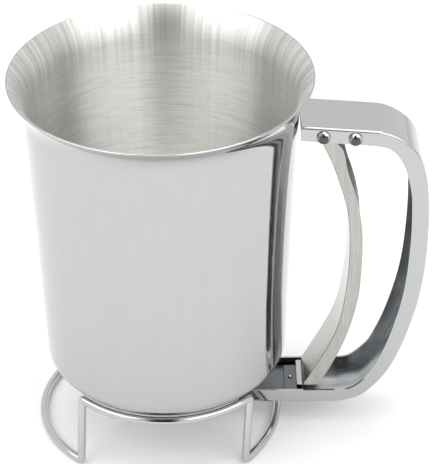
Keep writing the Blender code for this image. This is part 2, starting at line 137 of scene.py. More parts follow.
def ring_ground_steel():
    """Stainless ground on a turning cup: rings about 0.2 mm apart, drawn a little coarser so
    that they show, with highlights pulled out across the rings. On the flare the press leaves
    fine radial streaks, and the rings fade there."""
    material, tree, shader = new_steel("ring_ground_stainless", "#F1F0ED", 0.39)
    shader.inputs["Anisotropic"].default_value = 0.97
    place = node(tree, "TexCoord").outputs["Object"]
    centred = node(tree, "VectorMath", {"operation": "SUBTRACT"}, i0=place, i1=(BOWL_X, 0, 0))
    around = node(tree, "VectorMath", {"operation": "CROSS_PRODUCT"}, i0=(0, 0, 1),
                  i1=centred.outputs[0])
    normal = node(tree, "NewGeometry").outputs["Normal"]
    uphill = node(tree, "VectorMath", {"operation": "CROSS_PRODUCT"}, i0=around.outputs[0],
                  i1=normal)
    straight = node(tree, "VectorMath", {"operation": "NORMALIZE"}, i0=uphill.outputs[0])
    tree.links.new(straight.outputs[0], shader.inputs["Tangent"])
    path = node(tree, "UVMap", {"uv_map": "path"}).outputs[0]
    split = node(tree, "SeparateXYZ", i0=path)
    flat = node(tree, "Mapping", Vector=centred.outputs[0], Scale=(0.03, 0.03, 0.0))
    rings_at = node(tree, "CombineXYZ", i2=split.outputs[1])
    rings_place = node(tree, "VectorMath", {"operation": "ADD"}, i0=flat.outputs[0],
                       i1=rings_at.outputs[0])
    rings = node(tree, "TexNoise", Vector=rings_place.outputs[0], Scale=1 / (0.5 * MM),
                 Detail=6.0, Roughness=0.7)
    level = node(tree, "Mapping", Vector=centred.outputs[0], Scale=(1.0, 1.0, 0.0))
    spoke = node(tree, "VectorMath", {"operation": "NORMALIZE"}, i0=level.outputs[0])
    rays = node(tree, "TexNoise", Vector=spoke.outputs[0], Scale=30.0, Detail=4.0,
                Roughness=0.6)
    rise = node(tree, "SeparateXYZ", i0=place)
    flared = node(tree, "MapRange", Value=rise.outputs[2], To_Min=0.1, To_Max=0.9,
                  From_Min=RIM_HEIGHT - 2 * FLARE_HEIGHT, From_Max=RIM_HEIGHT)
    swing = node(tree, "Math", {"operation": "SUBTRACT"}, i0=rays.outputs[0], i1=0.5)
    ray = node(tree, "Math", {"operation": "MULTIPLY_ADD"}, i0=swing.outputs[0],
               i1=flared.outputs[0], i2=0.5)
    dim = node(tree, "MapRange", Value=rays.outputs[0], From_Min=0.38, From_Max=0.6,
               To_Min=0.46, To_Max=0.1)
    dimmed = node(tree, "Math", {"operation": "MULTIPLY"}, i0=dim.outputs[0],
                  i1=flared.outputs[0])
    streak = node(tree, "Math", {"operation": "SUBTRACT"}, i0=1.0, i1=dimmed.outputs[0])
    rough = node(tree, "MapRange", Value=ray.outputs[0], From_Min=0.3, From_Max=0.7,
                 To_Min=0.33, To_Max=0.45)
    tree.links.new(rough.outputs[0], shader.inputs["Roughness"])
    walled = node(tree, "Math", {"operation": "SUBTRACT"}, i0=1.0, i1=flared.outputs[0])
    cut = node(tree, "Math", {"operation": "SUBTRACT"}, i0=rings.outputs[0], i1=0.5)
    ring = node(tree, "Math", {"operation": "MULTIPLY_ADD"}, i0=cut.outputs[0],
                i1=walled.outputs[0], i2=0.5)
    groove = tinted_ramp(tree, ring.outputs[0],
                         [(0.32, "#D6D4D0"), (0.5, "#F1F0ED"), (0.68, "#FBFAF8")])
    shade = node(tree, "VectorMath", {"operation": "MULTIPLY"}, i0=groove, i1=streak.outputs[0])
    tree.links.new(shade.outputs[0], shader.inputs["Base Color"])
    grooves = node(tree, "Bump", Height=ring.outputs[0], Strength=0.3, Distance=0.05 * MM)
    tree.links.new(grooves.outputs[0], shader.inputs["Normal"])
    return material


def arc(centre, radius, start, end, steps):
    """Points of a circular arc, angles in degrees, both ends included."""
    turn = [math.radians(start + (end - start) * i / steps) for i in range(steps + 1)]
    return [Vector((centre[0] + radius * math.cos(a), centre[1] + radius * math.sin(a)))
            for a in turn]


def bowl_outside():
    """Outer side of the bowl, lip to outlet hole, as (radius, height)."""
    flare_turn = 2 * math.atan((RIM_RADIUS - WALL_RADIUS) / FLARE_HEIGHT)
    flare_radius = FLARE_HEIGHT / math.sin(flare_turn)
    centre = (WALL_RADIUS + flare_radius, RIM_HEIGHT - FLARE_HEIGHT)
    lip_turn = flare_turn - BOWL_SHEET / 2 / flare_radius
    line = arc(centre, flare_radius, 180 - math.degrees(lip_turn), 180, 20)
    foot = Vector((WALL_FOOT_RADIUS, WALL_FOOT_HEIGHT))
    line += [line[-1].lerp(foot, i / 12) for i in range(1, 12)]
    depth = WALL_FOOT_HEIGHT - BASE_HEIGHT
    for i in range(29):
        a = math.radians(84) * i / 28
        line.append(Vector((WALL_FOOT_RADIUS * math.cos(a) ** (2 / BASE_ROUNDNESS),
                            WALL_FOOT_HEIGHT - depth * math.sin(a) ** (2 / BASE_ROUNDNESS))))
    line.append(Vector((BASE_HOLE_RADIUS, BASE_HEIGHT)))
    return line


def beside(line, distance):
    """A line moved sideways, to its right for a positive distance."""
    moved = []
    for i, point in enumerate(line):
        along = line[min(i + 1, len(line) - 1)] - line[max(i - 1, 0)]
        moved.append(point + Vector((along.y, -along.x)).normalized() * distance)
    return moved


def turned_object(name, profile, centre, steps, materials, axis="Z"):
    """Turn a closed (radius, height) profile round an axis. Its "path" UV holds the turn, from
    0 to 1, and the distance along the profile in metres."""
    build = bmesh.new()
    path = build.loops.layers.uv.new("path")
    lengths = [0.0]
    for before, after in zip(profile, profile[1:] + profile[:1]):
        lengths.append(lengths[-1] + (Vector(after) - Vector(before)).length)
    spots = []
    for k in range(steps):
        a = 2 * math.pi * k / steps
        spots.append([None if radius == 0 else
                      build.verts.new((radius * math.cos(a), radius * math.sin(a), height))
                      for radius, height in profile])
    poles = [build.verts.new((0, 0, height)) if radius == 0 else None
             for radius, height in profile]
    for k in range(steps):
        here, there = spots[k], spots[(k + 1) % steps]
        for i in range(len(profile)):
            j = (i + 1) % len(profile)
            if poles[i] and poles[j]:
                continue
            corners = [here[i] or poles[i], here[j] or poles[j], there[j], there[i]]
            corners = [c for c in corners if c]
            face = build.faces.new(corners)
            for loop in face.loops:
                at_j = loop.vert in (here[j], there[j], poles[j])
                loop[path].uv = (k / steps, lengths[i + 1 if at_j else i])
    bmesh.ops.recalc_face_normals(build, faces=build.faces)
    if axis == "Y":
        bmesh.ops.rotate(build, verts=build.verts, matrix=LAID_ALONG_Y)
    bmesh.ops.translate(build, verts=build.verts, vec=Vector(centre))
    mesh = bpy.data.meshes.new(name)
    build.to_mesh(mesh)
    build.free()
    for material in materials:
        mesh.materials.append(material)
    made = bpy.data.objects.new(name, smooth_shaded(mesh))
    bpy.context.scene.collection.objects.link(made)
    return made


BUFFED = buffed_steel()
GROUND = ring_ground_steel()

outer = bowl_outside()
inner = beside(outer, BOWL_SHEET)
inner[-1] = Vector((BASE_HOLE_RADIUS, BASE_HEIGHT + BOWL_SHEET))
lip_middle = (outer[0] + inner[0]) / 2
lip_way = math.degrees(math.atan2(*(inner[0] - lip_middle).yx))
lip = arc(lip_middle, BOWL_SHEET / 2, lip_way, lip_way - 180, 8)[1:-1]
bowl = turned_object("drawn_bowl", [tuple(p) for p in outer + inner[::-1] + lip],
                     (BOWL_X, 0, 0), 192, [BUFFED, GROUND])
for polygon in bowl.data.polygons:
    which = polygon.index % (len(outer) + len(inner) + len(lip))
    polygon.material_index = 1 if len(outer) - 1 <= which < len(outer) + len(inner) - 1 else 0
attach(bowl, "dispenser")
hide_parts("bowl")


# ------------------------------------------------------------------ outlet
# The outlet is a short turned bush under the bowl's base. Its flange is silver-soldered to
# the base, its spigot stands through the hole, and its lower face is the valve's seat.

BORE_RADIUS = 5.5 * MM


def machined_steel():
    """Lathe-turned or sawn stainless left as machined: soft sheen with short tool marks."""
    material, tree, shader = new_steel("machined_stainless", "#C4C4C3", 0.3)
    place = node(tree, "TexCoord").outputs["Object"]
    marks = node(tree, "TexNoise", Vector=place, Scale=1 / (1.2 * MM), Detail=6.0, Roughness=0.7)
    rough = node(tree, "MapRange", Value=marks.outputs[0], To_Min=0.22, To_Max=0.4)
    tree.links.new(rough.outputs[0], shader.inputs["Roughness"])
    bump = node(tree, "Bump", Height=marks.outputs[0], Strength=0.2, Distance=0.03 * MM)
    tree.links.new(bump.outputs[0], shader.inputs["Normal"])
    return material


MACHINED = machined_steel()
boss_low, boss_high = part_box("outlet_boss")
boss = turned_object("outlet_bush", [
    (BORE_RADIUS, boss_low.z),
    (8.2 * MM, boss_low.z), (8.5 * MM, boss_low.z + 0.3 * MM),
    (8.5 * MM, 17.95 * MM), (14.2 * MM, 17.95 * MM), (14.5 * MM, 18.15 * MM),
    (14.5 * MM, 18.5 * MM), (14.3 * MM, 18.7 * MM), (7.6 * MM, 18.7 * MM),
    (7.6 * MM, boss_high.z - 0.3 * MM), (7.3 * MM, boss_high.z),
    (5.8 * MM, boss_high.z), (BORE_RADIUS, boss_high.z - 0.3 * MM),
], (BOWL_X, 0, 0), 64, [MACHINED])
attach(boss, "dispenser")
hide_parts("outlet_boss")


# ------------------------------------------------------------------ handle
# The handle is one channel pressed from 1 mm stainless strip, web outside and flanges in,
# bent in a loop from the bowl's wall to the outlet. Its long edges are rolled to a soft
# radius and the whole of it is buffed. The lower arm narrows to a tongue under the valve.

HANDLE_HALF = 12.6 * MM
HANDLE_SHEET = 1.0 * MM
HANDLE_ROLL = 1.1 * MM
ARM_BOTTOM = 11.1 * MM
TONGUE_HALF = 11.3 * MM
RIVET_HOLE = 1.55 * MM
HOLE_REACH = 20 * MM        # a cross hole's tool reaches this far either side
HANDLE_OUTSIDE = ((85.0, 150.4), (92.2, 149.4), (99.6, 145.6), (105.7, 139.2), (109.3, 129.5),
                  (111.1, 116.0), (111.6, 101.0), (110.9, 82.0), (108.9, 66.0), (106.0, 53.3),
                  (102.3, 40.8), (97.6, 29.4), (91.8, 20.6), (84.2, 13.6), (75.0, 11.1))
HANDLE_INSIDE = ((72.0, 17.65), (80.3, 18.4), (86.0, 22.8), (90.6, 29.0), (97.0, 45.8),
                 (102.3, 68.6), (104.3, 92.6), (104.3, 112.0), (103.2, 122.5), (100.6, 132.2),
                 (97.4, 138.3), (92.6, 142.3), (83.0, 143.9))
PIVOT = (66.5, 147.8)
ANCHOR = (79.6, 146.9)


def flat_points(points):
    return [Vector((x * MM, z * MM)) for x, z in points]


def smooth_path(knots, steps):
    """Points on a smooth curve through the knots."""
    knots = [knots[0] * 2 - knots[1]] + list(knots) + [knots[-1] * 2 - knots[-2]]
    path = []
    for before, start, end, after in zip(knots, knots[1:], knots[2:], knots[3:]):
        chord = (end - start).length
        slope_in = (end - before).normalized() * chord
        slope_out = (after - start).normalized() * chord
        for i in range(steps):
            t = i / steps
            path.append(start * (2 * t**3 - 3 * t**2 + 1) + slope_in * (t**3 - 2 * t**2 + t)
                        + end * (3 * t**2 - 2 * t**3) + slope_out * (t**3 - t**2))
    path.append(knots[-2])
    return path


def faired(path, rounds=24):
    """Take the small waves out of a path without pulling its bends in; the ends stay."""
    for k in range(2 * rounds):
        pull = 0.5 if k % 2 == 0 else -0.52
        middles = [(a + c) / 2 for a, c in zip(path, path[2:])]
        path = [path[0]] + [b + (m - b) * pull for b, m in zip(path[1:-1], middles)] + [path[-1]]
    return path


def pressed_plate(name, outline, half, rolled=(), roll=0.0, segments=4):
    """A flat outline of (x, z) points as thick as 2 half across Y. The two long edges along
    the outline points numbered in rolled are rounded with the roll radius."""
    build = bmesh.new()
    sides = [[build.verts.new((p.x + BOWL_X, y, p.y)) for p in outline] for y in (-half, half)]
    count = len(outline)
    for i in range(count):
        j = (i + 1) % count
        build.faces.new((sides[0][i], sides[0][j], sides[1][j], sides[1][i]))
    build.faces.new(sides[0])
    build.faces.new(sides[1])
    bmesh.ops.recalc_face_normals(build, faces=build.faces)
    if roll:
        edges = [build.edges.get((side[i], side[i + 1])) for side in sides
                 for i in range(rolled[0], rolled[1])]
        bmesh.ops.bevel(build, geom=edges, offset=roll, offset_type="OFFSET", segments=segments,
                        profile=0.5, affect="EDGES", clamp_overlap=True)
    mesh = bpy.data.meshes.new(name)
    build.to_mesh(mesh)
    build.free()
    made = bpy.data.objects.new(name, mesh)
    bpy.context.scene.collection.objects.link(made)
    return made


def round_tool(centre, radius, low, high, axis="Y"):
    """A cylinder to cut a hole with, along Y or Z, between two coordinates of that axis."""
    build = bmesh.new()
    bmesh.ops.create_cone(build, cap_ends=True, segments=48, radius1=radius, radius2=radius,
                          depth=high - low)
    middle = (low + high) / 2
    if axis == "Y":
        bmesh.ops.rotate(build, verts=build.verts, matrix=LAID_ALONG_Y)
        offset = Vector((centre[0] + BOWL_X, middle, centre[1]))
    else:
        offset = Vector((centre[0] + BOWL_X, centre[1], middle))
    bmesh.ops.translate(build, verts=build.verts, vec=offset)
    mesh = bpy.data.meshes.new("tool")
    build.to_mesh(mesh)
    build.free()
    made = bpy.data.objects.new("tool", mesh)
    bpy.context.scene.collection.objects.link(made)
    return made


def block(low, high):
    """A plain block, as a blank or a tool, with x counted from the bowl's axis."""
    outline = [Vector((low[0], low[2])), Vector((high[0], low[2])),
               Vector((high[0], high[2])), Vector((low[0], high[2]))]
    made = pressed_plate("tool", outline, (high[1] - low[1]) / 2)
    made.data.transform(Matrix.Translation((0, (high[1] + low[1]) / 2, 0)))
    return made


def finished(made, material, operations, edge=0.0, angle=35, edge_segments=2):
    """Work a blank with (operation, tool) pairs, break its sharp edges, and settle its mesh."""
    for operation, tool in operations:
        modifier = made.modifiers.new(operation, "BOOLEAN")
        modifier.operation = operation
        modifier.object = tool
        modifier.solver = "EXACT"
    if edge:
        bevel = made.modifiers.new("edge", "BEVEL")
        bevel.width = edge
        bevel.segments = edge_segments
        bevel.limit_method = "ANGLE"
        bevel.angle_limit = math.radians(angle)
        bevel.use_clamp_overlap = True
    bpy.context.view_layer.update()
    graph = bpy.context.evaluated_depsgraph_get()
    mesh = bpy.data.meshes.new_from_object(made.evaluated_get(graph))
    name = made.name
    for _, tool in operations:
        bpy.data.objects.remove(tool, do_unlink=True)
    bpy.data.objects.remove(made, do_unlink=True)
    build = bmesh.new()
    build.from_mesh(mesh)
    bmesh.ops.remove_doubles(build, verts=build.verts, dist=0.000001)
    bmesh.ops.dissolve_degenerate(build, edges=build.edges, dist=0.000001)
    build.to_mesh(mesh)
    build.free()
    mesh.name = name
    mesh.materials.clear()
    mesh.materials.append(material)
    smooth_shaded(mesh)
    settled = bpy.data.objects.new(name, mesh)
    bpy.context.scene.collection.objects.link(settled)
    weighted = settled.modifiers.new("weighted", "WEIGHTED_NORMAL")
    weighted.mode = "FACE_AREA"
    weighted.keep_sharp = True
    bpy.context.view_layer.update()
    graph = bpy.context.evaluated_depsgraph_get()
    settled.data = bpy.data.meshes.new_from_object(settled.evaluated_get(graph))
    settled.modifiers.clear()
    return settled


def channel_inside_steel():
    """The inside of the channel, which no buffing wheel reaches: still the grey, slightly
    mottled skin that pickling leaves on stainless strip."""
    material, tree, shader = new_steel("pickled_stainless", "#8F9396", 0.25)
    place = node(tree, "TexCoord").outputs["Object"]
    along = node(tree, "Mapping", Vector=place, Scale=(0.25, 1.0, 0.25))
    skin = node(tree, "TexNoise", Vector=along.outputs[0], Scale=1 / (3.5 * MM), Detail=5.0,
                Roughness=0.55)
    shade = tinted_ramp(tree, skin.outputs[0],
                        [(0.3, "#8E9294"), (0.5, "#A6A9AB"), (0.7, "#BEC0C1")])
    tree.links.new(shade, shader.inputs["Base Color"])
    rough = node(tree, "MapRange", Value=skin.outputs[0], To_Min=0.14, To_Max=0.34)
    tree.links.new(rough.outputs[0], shader.inputs["Roughness"])
    return material


PICKLED = channel_inside_steel()


def line_inside(channel, material, inner_half, faces_inside):
    """Give the faces of a channel's inner side their own finish. faces_inside tells from a
    web face's middle and its normal whether it looks into the channel."""
    channel.data.materials.append(material)
    for face in channel.data.polygons:
        flange = abs(face.normal.y) > 0.5
        if flange and abs(face.center.y) < inner_half + 0.1 * MM:
            face.material_index = 1
        elif not flange and abs(face.center.y) < inner_half:
            face.material_index = 1 if faces_inside(face.center, face.normal) else 0


arm_start, arm_foot = flat_points(((57.6, 152.6), (57.0, 146.2)))
flange_low, flange_high = flat_points(((41.8, 11.1), (37.8, 17.65)))
outside = faired(smooth_path(flat_points(HANDLE_OUTSIDE), 9))
inside = faired(smooth_path(flat_points(HANDLE_INSIDE), 9))
handle_outline = [arm_start, *outside, flange_low, flange_high, *inside, arm_foot]
blank = pressed_plate("channel_handle", handle_outline, HANDLE_HALF,
                      (0, len(outside) + 1), HANDLE_ROLL)
web_inside = beside([arm_start, *outside], HANDLE_SHEET)
before_start = web_inside[0] + (web_inside[0] - web_inside[1]).normalized() * 6 * MM
hollow_outline = [before_start, *web_inside[1:],
                  Vector((28 * MM, ARM_BOTTOM + HANDLE_SHEET)), Vector((28 * MM, 60 * MM)),
                  Vector((50 * MM, 100 * MM))]
hollow = pressed_plate("tool", hollow_outline, HANDLE_HALF - HANDLE_SHEET,
                       (0, len(web_inside)), HANDLE_ROLL - HANDLE_SHEET, 3)
tongue = block((-11.0 * MM, -TONGUE_HALF, ARM_BOTTOM),
               (50 * MM, TONGUE_HALF, ARM_BOTTOM + HANDLE_SHEET))
handle = finished(blank, BUFFED, [
    ("DIFFERENCE", hollow),
    ("UNION", tongue),
    ("DIFFERENCE", round_tool(flat_points([PIVOT])[0], RIVET_HOLE, -HOLE_REACH, HOLE_REACH)),
    ("DIFFERENCE", round_tool(flat_points([ANCHOR])[0], RIVET_HOLE, -HOLE_REACH, HOLE_REACH)),
    ("DIFFERENCE", round_tool((0, 0), 7.0 * MM, 5 * MM, 15 * MM, "Z")),
], 0.22 * MM, 40)
loop_middle = Vector((60 * MM + BOWL_X, 0, 80 * MM))
line_inside(handle, PICKLED, HANDLE_HALF - HANDLE_SHEET,
            lambda middle, normal: normal.dot(middle - loop_middle) < 0)
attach(handle, "dispenser")
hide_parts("handle")


# ------------------------------------------------------------------ upper bracket
# A small angle of 0.8 mm strip ties the handle's upper arm to the bowl. Its upright leg is
# spot-welded to the wall and its other leg lies under the arm's web.

bracket = finished(
    pressed_plate("wall_bracket", flat_points((
        (57.3, 146.4), (58.1, 146.4), (58.1, 150.0), (62.4, 149.6), (62.4, 150.4), (57.3, 150.8))),
        10 * MM), MACHINED, [], 0.12 * MM)
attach(bracket, "dispenser")
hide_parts("upper_bracket")


# ------------------------------------------------------------------ slide valve
# Under the bowl lies a shallow track of 0.8 mm sheet, welded into the lower arm, with a
# strap across it. In it runs the slide, a plain rolled strip that covers the bore. At its
# outer end an angle is riveted on, which the trigger's foot pulls.

TRACK_SHEET = 0.8 * MM
PULL_RIVET_X = 54.6 * MM
PULL_HOLE = 0.7 * MM
PULL_SHANK = 0.5 * MM
PULL_HEAD = 0.9 * MM
PULL_DOME = 0.55 * MM
FOOT_END = 57.2 * MM        # where the pull angle's foot meets its bright lip


def rolled_steel():
    """Mill-rolled stainless strip, unpolished, with lengthwise roll lines, which are real. Its
    dark grey base is painted shade and painted reflection of the bowl's dark underside, for the
    parts that lie under the bowl.
    """
    # painted shade: #686B6D is much darker than bare steel, standing in for the shade and the dark
    # reflection under the bowl
    material, tree, shader = new_steel("mill_rolled_stainless", "#686B6D", 0.3)
    place = node(tree, "TexCoord").outputs["Object"]
    stretched = node(tree, "Mapping", Vector=place, Scale=(0.04, 1.0, 1.0))
    lines = node(tree, "TexNoise", Vector=stretched.outputs[0], Scale=1 / (0.4 * MM), Detail=5.0,
                 Roughness=0.65)
    rough = node(tree, "MapRange", Value=lines.outputs[0], To_Min=0.16, To_Max=0.34)
    tree.links.new(rough.outputs[0], shader.inputs["Roughness"])
    bump = node(tree, "Bump", Height=lines.outputs[0], Strength=0.15, Distance=0.03 * MM)
    tree.links.new(bump.outputs[0], shader.inputs["Normal"])
    return material


ROLLED = rolled_steel()


def cad_block(name):
    """A blank of the same box as a CAD node."""
    low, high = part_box(name)
    return block((low.x - BOWL_X, low.y, low.z), (high.x - BOWL_X, high.y, high.z))


track_low, track_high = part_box("slide_track")
track_floor = track_low.z + TRACK_SHEET
track_blank = cad_block("slide_track")
track_blank.name = "valve_track"
track = finished(track_blank, ROLLED, [
    ("DIFFERENCE", block((-11 * MM + TRACK_SHEET, track_low.y + TRACK_SHEET, track_floor),
                         (60 * MM, track_high.y - TRACK_SHEET, 30 * MM))),
    ("DIFFERENCE", round_tool((0, 0), 6.5 * MM, 5 * MM, 15 * MM, "Z")),
], 0.12 * MM)
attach(track, "dispenser")
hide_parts("slide_track")

keeper_blank = cad_block("slide_keeper")
keeper_blank.name = "valve_keeper"
keeper = finished(keeper_blank, ROLLED, [], 0.15 * MM)
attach(keeper, "dispenser")
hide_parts("slide_keeper")

slide_blank = cad_block("slide_plate")
slide_blank.name = "valve_slide"
slide = finished(slide_blank, ROLLED, [
    ("DIFFERENCE", block((60.3 * MM, -5 * MM, 5 * MM), (62.1 * MM, 5 * MM, 25 * MM))),
    ("DIFFERENCE", round_tool((PULL_RIVET_X, 0), PULL_HOLE, 5 * MM, 25 * MM, "Z")),
], 0.15 * MM)
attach(slide, "slide")
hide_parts("slide_plate")

pull_blank = pressed_plate("pull_angle_strip", flat_points((
    (51.8, 14.8), (59.8, 14.8), (59.8, 18.3), (57.3, 18.3), (57.3, 15.6), (51.8, 15.6))), 9 * MM)
pull_angle = finished(pull_blank, BUFFED, [
    ("DIFFERENCE", round_tool((PULL_RIVET_X, 0), PULL_HOLE, 5 * MM, 25 * MM, "Z"))], 0.25 * MM,
    edge_segments=3)
# painted reflection: the foot up to FOOT_END gets the dark rolled finish to show the bowl's dark
# underside reflected in it; the lip stays buffed
pull_angle.data.materials.append(ROLLED)
for face in pull_angle.data.polygons:
    if face.center.x < FOOT_END + BOWL_X:
        face.material_index = 1
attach(pull_angle, "slide")
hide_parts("pull_angle")

head_low = 15.9 * MM
pull_rivet = turned_object("pull_angle_rivet", [
    (0, 13.6 * MM), (PULL_SHANK, 13.6 * MM), (PULL_SHANK, head_low),
    (PULL_HEAD - 0.05 * MM, head_low),
    *[(PULL_HEAD * math.cos(math.radians(a)), head_low + PULL_DOME * math.sin(math.radians(a)))
      for a in (12, 30, 48, 66, 80)],
    (0, head_low + PULL_DOME)], (PULL_RIVET_X + BOWL_X, 0, 0), 32, [BUFFED])
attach(pull_rivet, "slide")
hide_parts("pull_rivet")


# ------------------------------------------------------------------ trigger
# The trigger is a long curved channel of 0.8 mm stainless, web towards the fingers. Two
# ears at its top hang on the inner rivet, and a lug at its foot stands in the slide's slot.
# It is finished on a belt, so fine satin lines run along it.

TRIGGER_HALF = 10.5 * MM
TRIGGER_SHEET = 0.8 * MM
TRIGGER_ROLL = 0.9 * MM
TRIGGER_WEB = ((60.0, 19.3), (63.8, 26.5), (70.4, 39.8), (74.6, 51.0), (77.1, 65.0),
               (78.5, 80.5), (78.6, 95.0), (77.9, 106.0), (75.9, 116.0), (72.8, 126.4),
               (70.0, 134.6), (66.4, 142.6))
TRIGGER_EDGE = ((71.8, 143.6), (74.8, 139.6), (77.4, 128.0), (81.0, 116.1), (83.4, 104.1),
                (84.2, 92.0), (84.0, 80.0), (83.2, 67.0), (80.8, 54.4), (77.0, 41.5),
                (72.2, 30.1), (69.0, 23.7), (64.5, 17.0))


def belt_satin_steel():
    """Belt-finished stainless: satin, with lines about 0.1 mm apart that run up and down the
    trigger, drawn coarser so that they show."""
    material, tree, shader = new_steel("belt_satin_stainless", "#B5B3AF", 0.22)
    place = node(tree, "TexCoord").outputs["Object"]
    stretched = node(tree, "Mapping", Vector=place, Scale=(1.0, 1.0, 0.03))
    lines = node(tree, "TexNoise", Vector=stretched.outputs[0], Scale=1 / (0.45 * MM), Detail=5.0,
                 Roughness=0.7)
    shade = tinted_ramp(tree, lines.outputs[0],
                        [(0.3, "#9E9D99"), (0.5, "#AFADA9"), (0.7, "#BAB8B5")])
    tree.links.new(shade, shader.inputs["Base Color"])
    rough = node(tree, "MapRange", Value=lines.outputs[0], From_Min=0.25, From_Max=0.75,
                 To_Min=0.12, To_Max=0.3)
    tree.links.new(rough.outputs[0], shader.inputs["Roughness"])
    bump = node(tree, "Bump", Height=lines.outputs[0], Strength=0.12, Distance=0.04 * MM)
    tree.links.new(bump.outputs[0], shader.inputs["Normal"])
    return material


SATIN = belt_satin_steel()
web = faired(smooth_path(flat_points(TRIGGER_WEB), 8))
edge = faired(smooth_path(flat_points(TRIGGER_EDGE), 8))
ear = arc(flat_points([PIVOT])[0], 2.8 * MM, 200, -20, 24)
trigger_blank = pressed_plate("squeeze_trigger", [*web, *ear, *edge], TRIGGER_HALF,
                              (0, len(web) - 1), TRIGGER_ROLL)
web_hollow = beside(web, TRIGGER_SHEET)
hollow = pressed_plate("tool", [
    web_hollow[0] - (web_hollow[1] - web_hollow[0]).normalized() * 9 * MM, *web_hollow[1:-1],
    *flat_points(((60, 143), (60, 160), (100, 160), (100, 5)))],
    TRIGGER_HALF - TRIGGER_SHEET, (0, len(web_hollow) - 2), TRIGGER_ROLL - TRIGGER_SHEET, 3)
trigger = finished(trigger_blank, SATIN, [
    ("DIFFERENCE", hollow),
    ("UNION", block((60.7 * MM, -4.5 * MM, 12.9 * MM), (61.5 * MM, 4.5 * MM, 20.6 * MM))),
    ("DIFFERENCE", round_tool(flat_points([PIVOT])[0], RIVET_HOLE, -HOLE_REACH, HOLE_REACH)),
], 0.18 * MM, 40)
line_inside(trigger, PICKLED, TRIGGER_HALF - TRIGGER_SHEET,
            lambda middle, normal: normal.x > 0.2 and middle.z > 21 * MM)
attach(trigger, "trigger")
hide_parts("trigger")


# ------------------------------------------------------------------ rivets
# Two 2.5 mm stainless rivets cross the upper arm: the trigger hangs on the inner one and the
# outer one anchors the spring. Each has a domed head in front and a pressed-on cap behind.
# Inside the channel they carry spacer sleeves, and thin washers beside the trigger's ears.

HEAD_RADIUS = 2.95 * MM
HEAD_BASE = 12.9 * MM
HEAD_HEIGHT = 2.0 * MM
PIN_RADIUS = 1.25 * MM


def dome(first, last, steps):
    """Domed outline from one angle above the base to another, as (radius, rise)."""
    turns = [math.radians(first + (last - first) * i / steps) for i in range(steps + 1)]
    return [(HEAD_RADIUS * math.cos(a), HEAD_HEIGHT * math.sin(a)) for a in turns]


CROWN_START = 31.0 * MM    # along the outline, from the middle of the shank's end


def riveted_steel():
    """A stainless rivet head after the snap tool. Its crown is painted dark and its rim painted
    bright: a painted reflection on the dome."""
    material, tree, shader = new_steel("snapped_rivet_stainless", "#8C8E90", 0.12)
    path = node(tree, "UVMap", {"uv_map": "path"}).outputs[0]
    along = node(tree, "SeparateXYZ", i0=path)
    crown = node(tree, "MapRange", Value=along.outputs[1], From_Min=CROWN_START,
                 From_Max=CROWN_START + 0.6 * MM)
    # painted reflection: the rim is painted bright (#C4C5C5) and the crown is painted dark
    # (#55575A)
    shade = tinted_ramp(tree, crown.outputs[0], [(0.0, "#C4C5C5"), (1.0, "#55575A")])
    tree.links.new(shade, shader.inputs["Base Color"])
    place = node(tree, "TexCoord").outputs["Object"]
    skin = node(tree, "TexNoise", Vector=place, Scale=1 / (0.8 * MM), Detail=3.0)
    rough = node(tree, "MapRange", Value=skin.outputs[0], To_Min=0.06, To_Max=0.2)
    tree.links.new(rough.outputs[0], shader.inputs["Roughness"])
    return material


RIVETED = riveted_steel()

for name, centre in (("pivot", PIVOT), ("anchor", ANCHOR)):
    spot = (centre[0] * MM + BOWL_X, 0, centre[1] * MM)
    shank_end = -HEAD_BASE - 0.9 * MM
    head = turned_object(f"{name}_rivet_head", [
        (0, shank_end), (PIN_RADIUS, shank_end), (PIN_RADIUS, HEAD_BASE),
        (HEAD_RADIUS - 0.15 * MM, HEAD_BASE), *[(r, HEAD_BASE + h) for r, h in dome(6, 86, 14)],
        (0, HEAD_BASE + HEAD_HEIGHT)], spot, 48, [RIVETED], axis="Y")
    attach(head, "dispenser")
    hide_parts(f"{name}_rivet")
    hole, floor = PIN_RADIUS + 0.1 * MM, -HEAD_BASE - 1.1 * MM
    cap = turned_object(f"{name}_cap", [
        (0, -HEAD_BASE - HEAD_HEIGHT), *[(r, -HEAD_BASE - h) for r, h in dome(86, 6, 14)],
        (HEAD_RADIUS - 0.15 * MM, -HEAD_BASE), (hole, -HEAD_BASE), (hole, floor), (0, floor),
    ], spot, 48, [BUFFED], axis="Y")
    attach(cap, "dispenser")
    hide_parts(f"{name}_rivet_cap")

for cad_name, hole in (("pivot_sleeve", 1.45), ("anchor_sleeve", 1.45),
                       ("pivot_washer_front", 1.55), ("pivot_washer_rear", 1.55)):
    low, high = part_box(cad_name)
    radius = (high.z - low.z) / 2
    near, far = -high.y, -low.y
    chamfer = min(0.2 * MM, (far - near) / 4)
    ring = turned_object(cad_name + "_ring", [
        (hole * MM, near), (radius - chamfer, near), (radius, near + chamfer),
        (radius, far - chamfer), (radius - chamfer, far), (hole * MM, far),
    ], ((low.x + high.x) / 2, 0, (low.z + high.z) / 2), 48, [MACHINED], axis="Y")
    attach(ring, "dispenser")
    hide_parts(cad_name)


# ------------------------------------------------------------------ spring
# A torsion spring of 0.6 mm wire is wound on the pivot sleeve. One leg bears on the back of
# the trigger's web and the other hooks under the outer rivet, so it closes the valve. The
# first leg turns with the trigger, about the coil's own middle.

COIL_RADIUS = 2.5 * MM
COIL_WIRE = 0.3 * MM
COIL_TURNS = 5
COIL_PITCH = 1.0 * MM
LEG_FIT = 0.93              # the leg's first stretch lies inside the coil's own wire


def spring_steel():
    """Hard-drawn stainless spring wire: dull grey with a satin skin from the drawing die."""
    material, tree, shader = new_steel("drawn_spring_wire", "#B5B6B7", 0.28)
    place = node(tree, "TexCoord").outputs["Object"]
    skin = node(tree, "TexNoise", Vector=place, Scale=1 / (0.3 * MM), Detail=4.0)
    rough = node(tree, "MapRange", Value=skin.outputs[0], To_Min=0.2, To_Max=0.36)
    tree.links.new(rough.outputs[0], shader.inputs["Roughness"])
    return material


